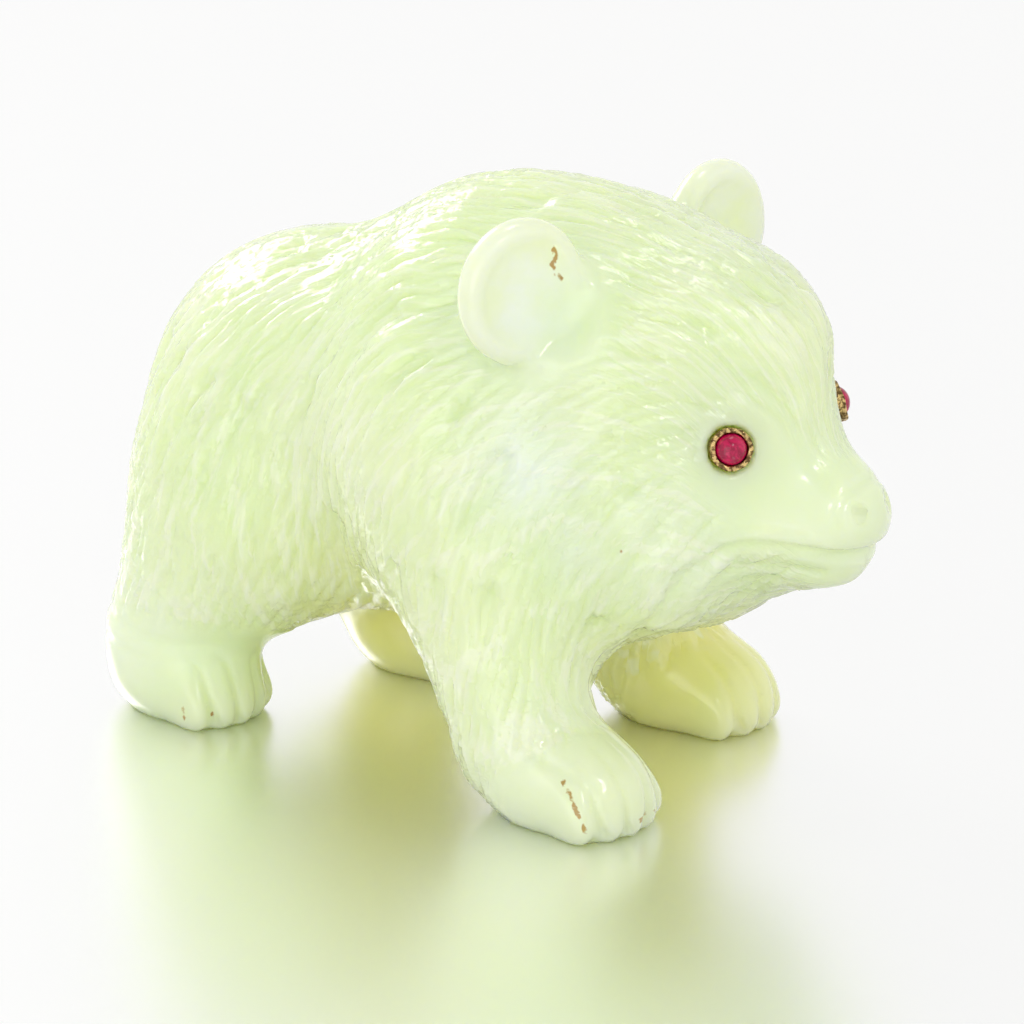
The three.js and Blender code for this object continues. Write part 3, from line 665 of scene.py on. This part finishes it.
def strokeDepths(points, samples, values):
    at, run, deep, wide = samples
    tree = KDTree(len(at))
    for i, place in enumerate(at):
        tree.insert(place, i)
    tree.balance()
    near = np.array([[found[1] for found in tree.find_n(place, values["nearest"])] for place in points])
    away = points[:, None] - at[near]
    along = (away * run[near]).sum(2, keepdims=True)
    aside = away - along * run[near]
    reach = np.linalg.norm(aside, axis=2)
    beside = np.abs(along[..., 0]) < values["sampleReach"]
    reach = np.where(beside, reach, 9) / wide[near]
    cut = deep[near] * np.clip(1 - reach, 0, 1) ** values["wall"]
    best = cut.argmax(1)
    rows = np.arange(len(points))
    return cut[rows, best], aside[rows, best] * (reach[rows, best] < values["drawReach"])[:, None]


samples = strokeSamples(strokeRows, furCuts)
_, drawAside = strokeDepths(points, samples, furCuts)
furry = (1 - bare) * ~onSole
points = points - drawAside * furCuts["draw"] * furry[:, None]
strokeDepth, _ = strokeDepths(points, samples, furCuts)
mainDepth = cutDepth(points, mainGrooves(mainCuts))
fineDepth = cutDepth(points, fineGrooves(fineLines, toeCuts))
flawDepth = cutDepth(points, flawLines(stoneFlaws))
strokeDepth *= furry
print("fur cut")

# A flow map for the finest hair lines: how far along the fur and across it each point is.
# The numbers that rise most evenly along the vectors are found by conjugate gradients.


def flowMap(points, edges, vectors, kept, rounds=500):
    a, b = edges[kept].T
    rise = (((vectors[a] + vectors[b]) / 2) * (points[b] - points[a])).sum(1)
    count = len(points)

    def spread(step):
        return np.bincount(b, step, count) - np.bincount(a, step, count)
    flow = np.zeros(count)
    rest = spread(rise)
    search, size = rest.copy(), rest @ rest
    for _ in range(rounds):
        pull = spread(search[b] - search[a])
        move = size / max(search @ pull, 1e-12)
        flow += move * search
        rest -= move * pull
        newSize = rest @ rest
        search = rest + search * (newSize / size)
        size = newSize
    return flow


way = tuftedWay(points, normals)
# the map across is left open under the belly, where the two sides' fur meets
underneath = (points[edges[:, 0], 1] * points[edges[:, 1], 1] <= 0) & (normals[edges[:, 0], 2] < 0.2)
hairAlong = flowMap(points, edges, way, np.ones(len(edges), bool))
hairAcross = flowMap(points, edges, np.cross(normals, way), ~underneath)
print("hair flow mapped")

# Eye sockets, sunk under the collets

socket = {"radius": 1.5, "edge": 0.3, "depth": 1.4, "near": 4}  # millimetres

sunk = np.zeros(len(points))
for at, out in eyeSeats.values():
    away = points - at
    aside = np.linalg.norm(away - (away @ out)[:, None] * out, axis=1) / mm
    near = np.abs(away @ out) < socket["near"] * mm
    share = np.clip((socket["radius"] + socket["edge"] - aside) / socket["edge"], 0, 1) * near
    sunk = np.maximum(sunk, share * socket["depth"] * mm)

depth = np.maximum(mainDepth, fineDepth) + strokeDepth + flawDepth + sunk
depth[onSole] = 0
points = points - normals * depth[:, None]
points[:, 2] = np.maximum(points[:, 2], 0)

# Places of painted glow, where the yellow of light shining through the stone under the belly and legs is
# painted into its colour, and milky places in the stone: place, reach, strength

stoneClouds = {
    "fade": 0.7,  # at this share of its reach a place has faded to three fifths
    # painted glow: low places under the belly and legs, painted warm where light through the stone would
    # glow
    "paintedGlow": [
        ((12, 17, 6), 12, 1.0),
        ((2, 0, 16), 14, 0.75),
        ((-16, -2, 16), 12, 0.7),
        ((-24, 12, 8), 12, 0.9),
        ((24, -4, 20), 10, 0.45),
        ((-8, -14, 20), 12, 0.35),
    ],
    "milky": [
        ((16.5, -20, 41), 7, 0.8),
        ((22, -18, 33), 5, 0.6),
        ((14.3, -19.2, 60), 9, 0.95),
        ((15.6, 20, 59.4), 9, 0.9),
        ((18, -18, 4), 9, 0.6),
        ((-40, -14, 10), 10, 0.8),
        ((44, 0, 35), 9, 0.55),
        ((31, -14, 33), 9, 0.45),
        ((30, 0, 62), 12, 0.25),
    ],
}


def cloudShare(points, spots):
    share = np.zeros(len(points))
    for at, reach, strength in spots:
        away = ((points - np.array(at)) ** 2).sum(1)
        share = np.maximum(share, strength * np.exp(-away / (2 * (reach * stoneClouds["fade"]) ** 2)))
    return share


def setNumbers(mesh, name, values):
    attribute = mesh.attributes.new(name, "FLOAT", "POINT")
    attribute.data.foreach_set("value", values.astype(np.float32))


bodyMesh.vertices.foreach_set("co", toMetres(points).astype(np.float32).ravel())
for name, values in {
    "hairAlong": hairAlong, "hairAcross": hairAcross, "furry": furry,
    "flaw": np.clip(flawDepth / stoneFlaws["depth"], 0, 1),
    # paintedGlow: share of painted glow from light shining through the stone
    "paintedGlow": cloudShare(points, stoneClouds["paintedGlow"]), "milky": cloudShare(points, stoneClouds["milky"]),
}.items():
    setNumbers(bodyMesh, name, values)
bodyMesh.update()
bodyMesh.shade_smooth()

# Materials


def newMaterial(name):
    material = bpy.data.materials.new(name)
    material.use_nodes = True
    nodes = material.node_tree.nodes
    return material, nodes, material.node_tree.links, nodes["Principled BSDF"]


def addNode(nodes, kind, **settings):
    node = nodes.new(kind)
    for key, value in settings.items():
        if hasattr(node, key):
            setattr(node, key, value)
        else:
            node.inputs[key].default_value = value
    return node


def numberFrom(nodes, name):
    return addNode(nodes, "ShaderNodeAttribute", attribute_name=name).outputs["Fac"]


def mixColours(nodes, links, share, a, b):
    mix = addNode(nodes, "ShaderNodeMix", data_type="RGBA")
    for socketIndex, value in ((0, share), (6, a), (7, b)):  # a colour mix's own three sockets
        if hasattr(value, "is_linked"):
            links.new(value, mix.inputs[socketIndex])
        else:
            mix.inputs[socketIndex].default_value = value
    return mix.outputs[2]


def ranged(nodes, links, value, low, high, newLow=0, newHigh=1):
    node = addNode(nodes, "ShaderNodeMapRange")
    links.new(value, node.inputs["Value"])
    for key, number in zip(("From Min", "From Max", "To Min", "To Max"), (low, high, newLow, newHigh)):
        node.inputs[key].default_value = number
    return node.outputs["Result"]


def product(nodes, links, a, b):
    node = addNode(nodes, "ShaderNodeMath", operation="MULTIPLY")
    for i, value in enumerate((a, b)):
        if hasattr(value, "is_linked"):
            links.new(value, node.inputs[i])
        else:
            node.inputs[i].default_value = value
    return node.outputs[0]


boweniteLook = {
    "stone": (0.815, 0.917, 0.565, 1),
    "deep": (0.755, 0.89, 0.485, 1),   # drifting clouds, a little darker
    # painted glow: the yellow that light shining through the stone gives under the belly and legs
    "paintedGlow": (0.95, 0.87, 0.28, 1),
    "milk": (0.85, 0.93, 0.84, 1),
    "stain": (0.45, 0.30, 0.08, 1),    # dirt in the cracks
    "frostAndSheen": (0.91, 0.965, 0.76, 1),  # partly left white where the wheel cut the hairs, partly painted highlight along them
    "frostAndSheenShare": 0.4,
    "glow": (0.0070, 0.0066, 0.0030),  # how far light wanders in the stone, metres
    "glowShare": 0.65,
    "roughness": (0.09, 0.24),         # on the hairs, and elsewhere
    "polish": 0.5,
    "polishRoughness": 0.07,
    "hairGap": 0.62,                   # drawn units
    "hairLength": 9,
    "hairHeight": 0.00017,             # metres
    "hairStrength": 0.75,
    "ior": 1.56,
    "cloudScale": 70,                  # noises, to the metre
    "veilScale": 260,
    "speckScale": 1300,
    "cloudSpan": (0.38, 0.66),         # of the noise, from the deep colour to the stone's
    "veilSpan": (0.35, 0.65),          # from thin milk to full
    "thinMilk": 0.55,
    "speckSpan": (0.35, 0.6),          # from broken dirt to whole
    "speckShare": (0.7, 1.1),
    "dirtSpan": (0.8, 0.96),           # of the flaw's depth, from clean to dirty
    "frostAndSheenSpan": (0.52, 0.64),        # of the hairs' height, from the stone's colour to white: frosting and painted highlight
    "shineSpan": (0.3, 0.65),          # and from rough to smooth
}


def boweniteMaterial(look):
    material, nodes, links, stone = newMaterial("bowenite")
    place = addNode(nodes, "ShaderNodeTexCoord").outputs["Object"]
    clouds = addNode(nodes, "ShaderNodeTexNoise", Scale=look["cloudScale"], Detail=3, Roughness=0.55,
                     Distortion=0.6)
    veil = addNode(nodes, "ShaderNodeTexNoise", Scale=look["veilScale"], Detail=4, Roughness=0.6)
    specks = addNode(nodes, "ShaderNodeTexNoise", Scale=look["speckScale"], Detail=2, Roughness=0.5)
    for noise in (clouds, veil, specks):
        links.new(place, noise.inputs["Vector"])
    drift = ranged(nodes, links, clouds.outputs["Fac"], *look["cloudSpan"])
    colour = mixColours(nodes, links, drift, look["deep"], look["stone"])
    # painted glow, mixed in under the belly and legs where light through the stone glows
    colour = mixColours(nodes, links, numberFrom(nodes, "paintedGlow"), colour, look["paintedGlow"])
    flecks = ranged(nodes, links, veil.outputs["Fac"], *look["veilSpan"], look["thinMilk"], 1)
    milk = product(nodes, links, numberFrom(nodes, "milky"), flecks)
    colour = mixColours(nodes, links, milk, colour, look["milk"])
    broken = ranged(nodes, links, specks.outputs["Fac"], *look["speckSpan"], *look["speckShare"])
    flaws = product(nodes, links, numberFrom(nodes, "flaw"), broken)
    dirt = ranged(nodes, links, flaws, *look["dirtSpan"])
    colour = mixColours(nodes, links, dirt, colour, look["stain"])

    flow = addNode(nodes, "ShaderNodeCombineXYZ")
    across = product(nodes, links, numberFrom(nodes, "hairAcross"), 1 / look["hairGap"])
    along = product(nodes, links, numberFrom(nodes, "hairAlong"), 1 / look["hairLength"])
    links.new(across, flow.inputs[0])
    links.new(along, flow.inputs[1])
    hairs = addNode(nodes, "ShaderNodeTexNoise", noise_dimensions="2D", Scale=1, Detail=2, Roughness=0.5)
    links.new(flow.outputs[0], hairs.inputs["Vector"])
    hairs = product(nodes, links, hairs.outputs["Fac"], numberFrom(nodes, "furry"))
    # the hairs' raised parts go whiter where they are also made smoother: partly the wheel's frosting,
    # partly painted highlight
    frostAndSheen = ranged(nodes, links, hairs, *look["frostAndSheenSpan"], 0, look["frostAndSheenShare"])
    colour = mixColours(nodes, links, frostAndSheen, colour, look["frostAndSheen"])
    links.new(colour, stone.inputs["Base Color"])
    bump = addNode(nodes, "ShaderNodeBump", Strength=look["hairStrength"], Distance=look["hairHeight"])
    links.new(hairs, bump.inputs["Height"])
    links.new(bump.outputs["Normal"], stone.inputs["Normal"])
    rough = ranged(nodes, links, hairs, *look["shineSpan"], *reversed(look["roughness"]))
    links.new(rough, stone.inputs["Roughness"])

    stone.inputs["IOR"].default_value = look["ior"]
    stone.inputs["Subsurface Weight"].default_value = look["glowShare"]
    stone.inputs["Subsurface Radius"].default_value = look["glow"]
    stone.inputs["Subsurface Scale"].default_value = 1
    stone.inputs["Coat Weight"].default_value = look["polish"]
    stone.inputs["Coat Roughness"].default_value = look["polishRoughness"]
    return material


bear = bpy.data.objects.new("bear_carving", bodyMesh)
bpy.context.scene.collection.objects.link(bear)
bodyMesh.materials.clear()
bodyMesh.materials.append(boweniteMaterial(boweniteLook))
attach(bear, "root")
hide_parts("bear_body")
print("bear carved")

# Eyes: turned gold collets, worn and dented, and red domes in them

eyeMake = {
    "sides": 56,
    "outer": 1.6,       # radius of the collet; this and all below in millimetres
    "inner": 1.22,      # radius of its cup
    "proud": 0.38,      # its lip, foot and floor, from the face
    "foot": -1.12,
    "floor": -0.77,
    "lip": 0.1,         # radius of the lip's rounded edges
    "lipSteps": 4,
    "edge": 0.05,       # chamfer round the foot
    "corner": 0.1,      # and round the floor of the cup
    "dents": 0.035,
    "stone": 1.16,      # radius of the cabochon
    "seat": 0.05,       # gap under it
    "bevel": 0.1,       # round its back
    "girdle": 0.05,
    "dome": 1.03,       # its top, from the face
    "domeSteps": 12,
}


def turnedMesh(name, profile, sides, dents=0):
    metres = 0.001  # the profile is in millimetres
    bm = bmesh.new()
    rings = []
    for ringIndex, (radius, height) in enumerate(profile):
        if radius == 0:
            rings.append([bm.verts.new((0, 0, height * metres))] * sides)
            continue
        ring = []
        for i in range(sides):
            angle = 2 * math.pi * i / sides
            wave = (math.sin(3 * angle + ringIndex) + math.sin(7 * angle + 2)
                    + 0.6 * math.sin(13 * angle + ringIndex))
            r = (radius + dents * wave / 2) * metres
            z = (height + dents * math.sin(5 * angle + 1)) * metres
            ring.append(bm.verts.new((r * math.cos(angle), r * math.sin(angle), z)))
        rings.append(ring)
    for low, high in zip(rings, rings[1:]):
        for i in range(sides):
            corners = [low[i], low[(i + 1) % sides], high[(i + 1) % sides], high[i]]
            corners = list(dict.fromkeys(corners))  # three of them beside a middle point
            if len(corners) > 2:
                bm.faces.new(corners)
    bmesh.ops.recalc_face_normals(bm, faces=bm.faces)
    mesh = bpy.data.meshes.new(name)
    bm.to_mesh(mesh)
    bm.free()
    mesh.shade_smooth()
    return mesh


def colletProfile(values):
    outer, inner, top, lip = values["outer"], values["inner"], values["proud"], values["lip"]
    foot, floor, edge, corner = values["foot"], values["floor"], values["edge"], values["corner"]
    steps = values["lipSteps"]
    profile = [(0, foot), (outer - edge, foot), (outer, foot + edge)]
    profile += [(outer, top - 3 * lip), (outer, top - 1.2 * lip)]
    for i in range(1, steps + 1):
        angle = i / steps * math.pi / 2
        profile.append((outer - lip + lip * math.cos(angle), top - lip + lip * math.sin(angle)))
    for i in range(steps + 1):
        angle = i / steps * math.pi / 2
        profile.append((inner + lip - lip * math.sin(angle), top - lip + lip * math.cos(angle)))
    profile += [(inner, floor + corner), (inner - corner, floor), (0, floor)]
    return profile


def cabochonProfile(values):
    radius, girdle, top, bevel = values["stone"], values["girdle"], values["dome"], values["bevel"]
    back, steps = values["floor"] + values["seat"], values["domeSteps"]
    profile = [(0, back), (radius - bevel, back), (radius, back + bevel), (radius, girdle)]
    for i in range(1, steps):
        angle = i / steps * math.pi / 2
        profile.append((radius * math.cos(angle), girdle + (top - girdle) * math.sin(angle)))
    return profile + [(0, top)]


goldLook = {
    "bright": (0.78, 0.56, 0.24, 1),
    "dark": (0.16, 0.10, 0.04, 1),  # grime in the dents
    "roughness": (0.22, 0.6),
    "grimeScale": 2600,             # to the metre
    "grimeSpan": (0.42, 0.56),      # of the noise, from bright to dark
    "pitDepth": 0.00006,            # metres
    "pitStrength": 0.8,
}


def goldMaterial(look):
    material, nodes, links, metal = newMaterial("worn gold")
    place = addNode(nodes, "ShaderNodeTexCoord").outputs["Object"]
    grime = addNode(nodes, "ShaderNodeTexNoise", Scale=look["grimeScale"], Detail=4, Roughness=0.7)
    links.new(place, grime.inputs["Vector"])
    worn = ranged(nodes, links, grime.outputs["Fac"], *look["grimeSpan"])
    links.new(mixColours(nodes, links, worn, look["bright"], look["dark"]), metal.inputs["Base Color"])
    links.new(ranged(nodes, links, worn, 0, 1, *look["roughness"]), metal.inputs["Roughness"])
    bump = addNode(nodes, "ShaderNodeBump", Strength=look["pitStrength"], Distance=look["pitDepth"])
    links.new(grime.outputs["Fac"], bump.inputs["Height"])
    links.new(bump.outputs["Normal"], metal.inputs["Normal"])
    metal.inputs["Metallic"].default_value = 1
    return material


rubyLook = {
    "heart": (0.88, 0.008, 0.13, 1),
    "silk": (0.45, 0.0, 0.06, 1),  # darker clouds in it
    "silkScale": 1500,             # to the metre
    "silkSpan": (0.4, 0.62),       # of the noise, from silk to heart
    "ior": 1.6,
    "clearness": 0.35,
    "roughness": 0.06,
    "shine": 0.3,
}


def rubyMaterial(look):
    material, nodes, links, gem = newMaterial("ruby")
    place = addNode(nodes, "ShaderNodeTexCoord").outputs["Object"]
    silk = addNode(nodes, "ShaderNodeTexNoise", Scale=look["silkScale"], Detail=3, Roughness=0.6,
                   Distortion=1)
    links.new(place, silk.inputs["Vector"])
    share = ranged(nodes, links, silk.outputs["Fac"], *look["silkSpan"])
    links.new(mixColours(nodes, links, share, look["silk"], look["heart"]), gem.inputs["Base Color"])
    gem.inputs["Transmission Weight"].default_value = look["clearness"]
    gem.inputs["Roughness"].default_value = look["roughness"]
    gem.inputs["IOR"].default_value = look["ior"]
    gem.inputs["Specular IOR Level"].default_value = look["shine"]
    return material


def placeEye(side, material, name, profile, replaced, dents=0):
    at, out = eyeSeats[side]
    piece = bpy.data.objects.new(name, turnedMesh(name, profile, eyeMake["sides"], dents))
    piece.data.materials.append(material)
    turn = Vector((0, 0, 1)).rotation_difference(Vector(out)).to_matrix().to_4x4()
    piece.matrix_world = Matrix.Translation(toMetres(at)) @ turn
    bpy.context.scene.collection.objects.link(piece)
    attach(piece, "root")
    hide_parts(replaced)


wornGold, rubyStone = goldMaterial(goldLook), rubyMaterial(rubyLook)
for side in eyeSeats:
    placeEye(side, wornGold, f"{side}_collet", colletProfile(eyeMake), f"{side}_eye_setting",
             eyeMake["dents"])
    placeEye(side, rubyStone, f"{side}_ruby", cabochonProfile(eyeMake), f"{side}_eye_cabochon")
print("eyes set")

# Floor and light

studio = {
    "floorSize": 3,        # metres
    "floorDrop": 0.00002,  # so that the soles don't share its plane
    "floorColour": (0.99, 0.99, 0.985, 1),
    "floorShine": 0.97,
    "floorRoughness": 0.3,
    "wall": 0.98,          # brightness of the white paper all round
    "ceiling": 0.56,
    "rise": (0.45, 0.9),   # the paper gives way to the ceiling between these slopes
    "aim": (0, 0, 0.02),
    "lamps": [
        {"name": "left softbox", "at": (-0.42, 0.1, 0.3), "size": 0.2, "power": 0.7},
        {"name": "top softbox", "at": (0, 0.05, 0.5), "size": 0.12, "power": 0.2},
        {"name": "front softbox", "at": (0.36, -0.24, 0.4), "size": 0.09, "power": 0.22},
        {"name": "low fill", "at": (0.1, -0.5, 0.1), "size": 0.35, "power": 0.36},
    ],
}


def floorMaterial(values):
    material, nodes, links, satin = newMaterial("satin floor")
    satin.inputs["Base Color"].default_value = values["floorColour"]
    satin.inputs["Metallic"].default_value = values["floorShine"]
    satin.inputs["Roughness"].default_value = values["floorRoughness"]
    return material


def makeStudio(values):
    half, drop = values["floorSize"] / 2, values["floorDrop"]
    mesh = bpy.data.meshes.new("floor")
    corners = [(-half, -half, -drop), (half, -half, -drop), (half, half, -drop), (-half, half, -drop)]
    mesh.from_pydata(corners, [], [(0, 1, 2, 3)])
    mesh.materials.append(floorMaterial(values))
    floor = bpy.data.objects.new("floor", mesh)
    bpy.context.scene.collection.objects.link(floor)
    world = bpy.data.worlds.new("studio")
    world.use_nodes = True
    nodes, links = world.node_tree.nodes, world.node_tree.links
    up = addNode(nodes, "ShaderNodeSeparateXYZ")
    links.new(addNode(nodes, "ShaderNodeTexCoord").outputs["Generated"], up.inputs[0])
    bright = ranged(nodes, links, up.outputs["Z"], *values["rise"], values["wall"], values["ceiling"])
    links.new(bright, nodes["Background"].inputs["Strength"])
    nodes["Background"].inputs["Color"].default_value = (1, 1, 1, 1)
    bpy.context.scene.world = world
    for lamp in values["lamps"]:
        data = bpy.data.lights.new(lamp["name"], "AREA")
        data.size, data.energy = lamp["size"], lamp["power"]
        light = bpy.data.objects.new(lamp["name"], data)
        light.location = lamp["at"]
        light.rotation_euler = (Vector(values["aim"]) - light.location).to_track_quat("-Z", "Y").to_euler()
        bpy.context.scene.collection.objects.link(light)
    bpy.context.scene.view_settings.view_transform = "Standard"


makeStudio(studio)
print("studio lit")
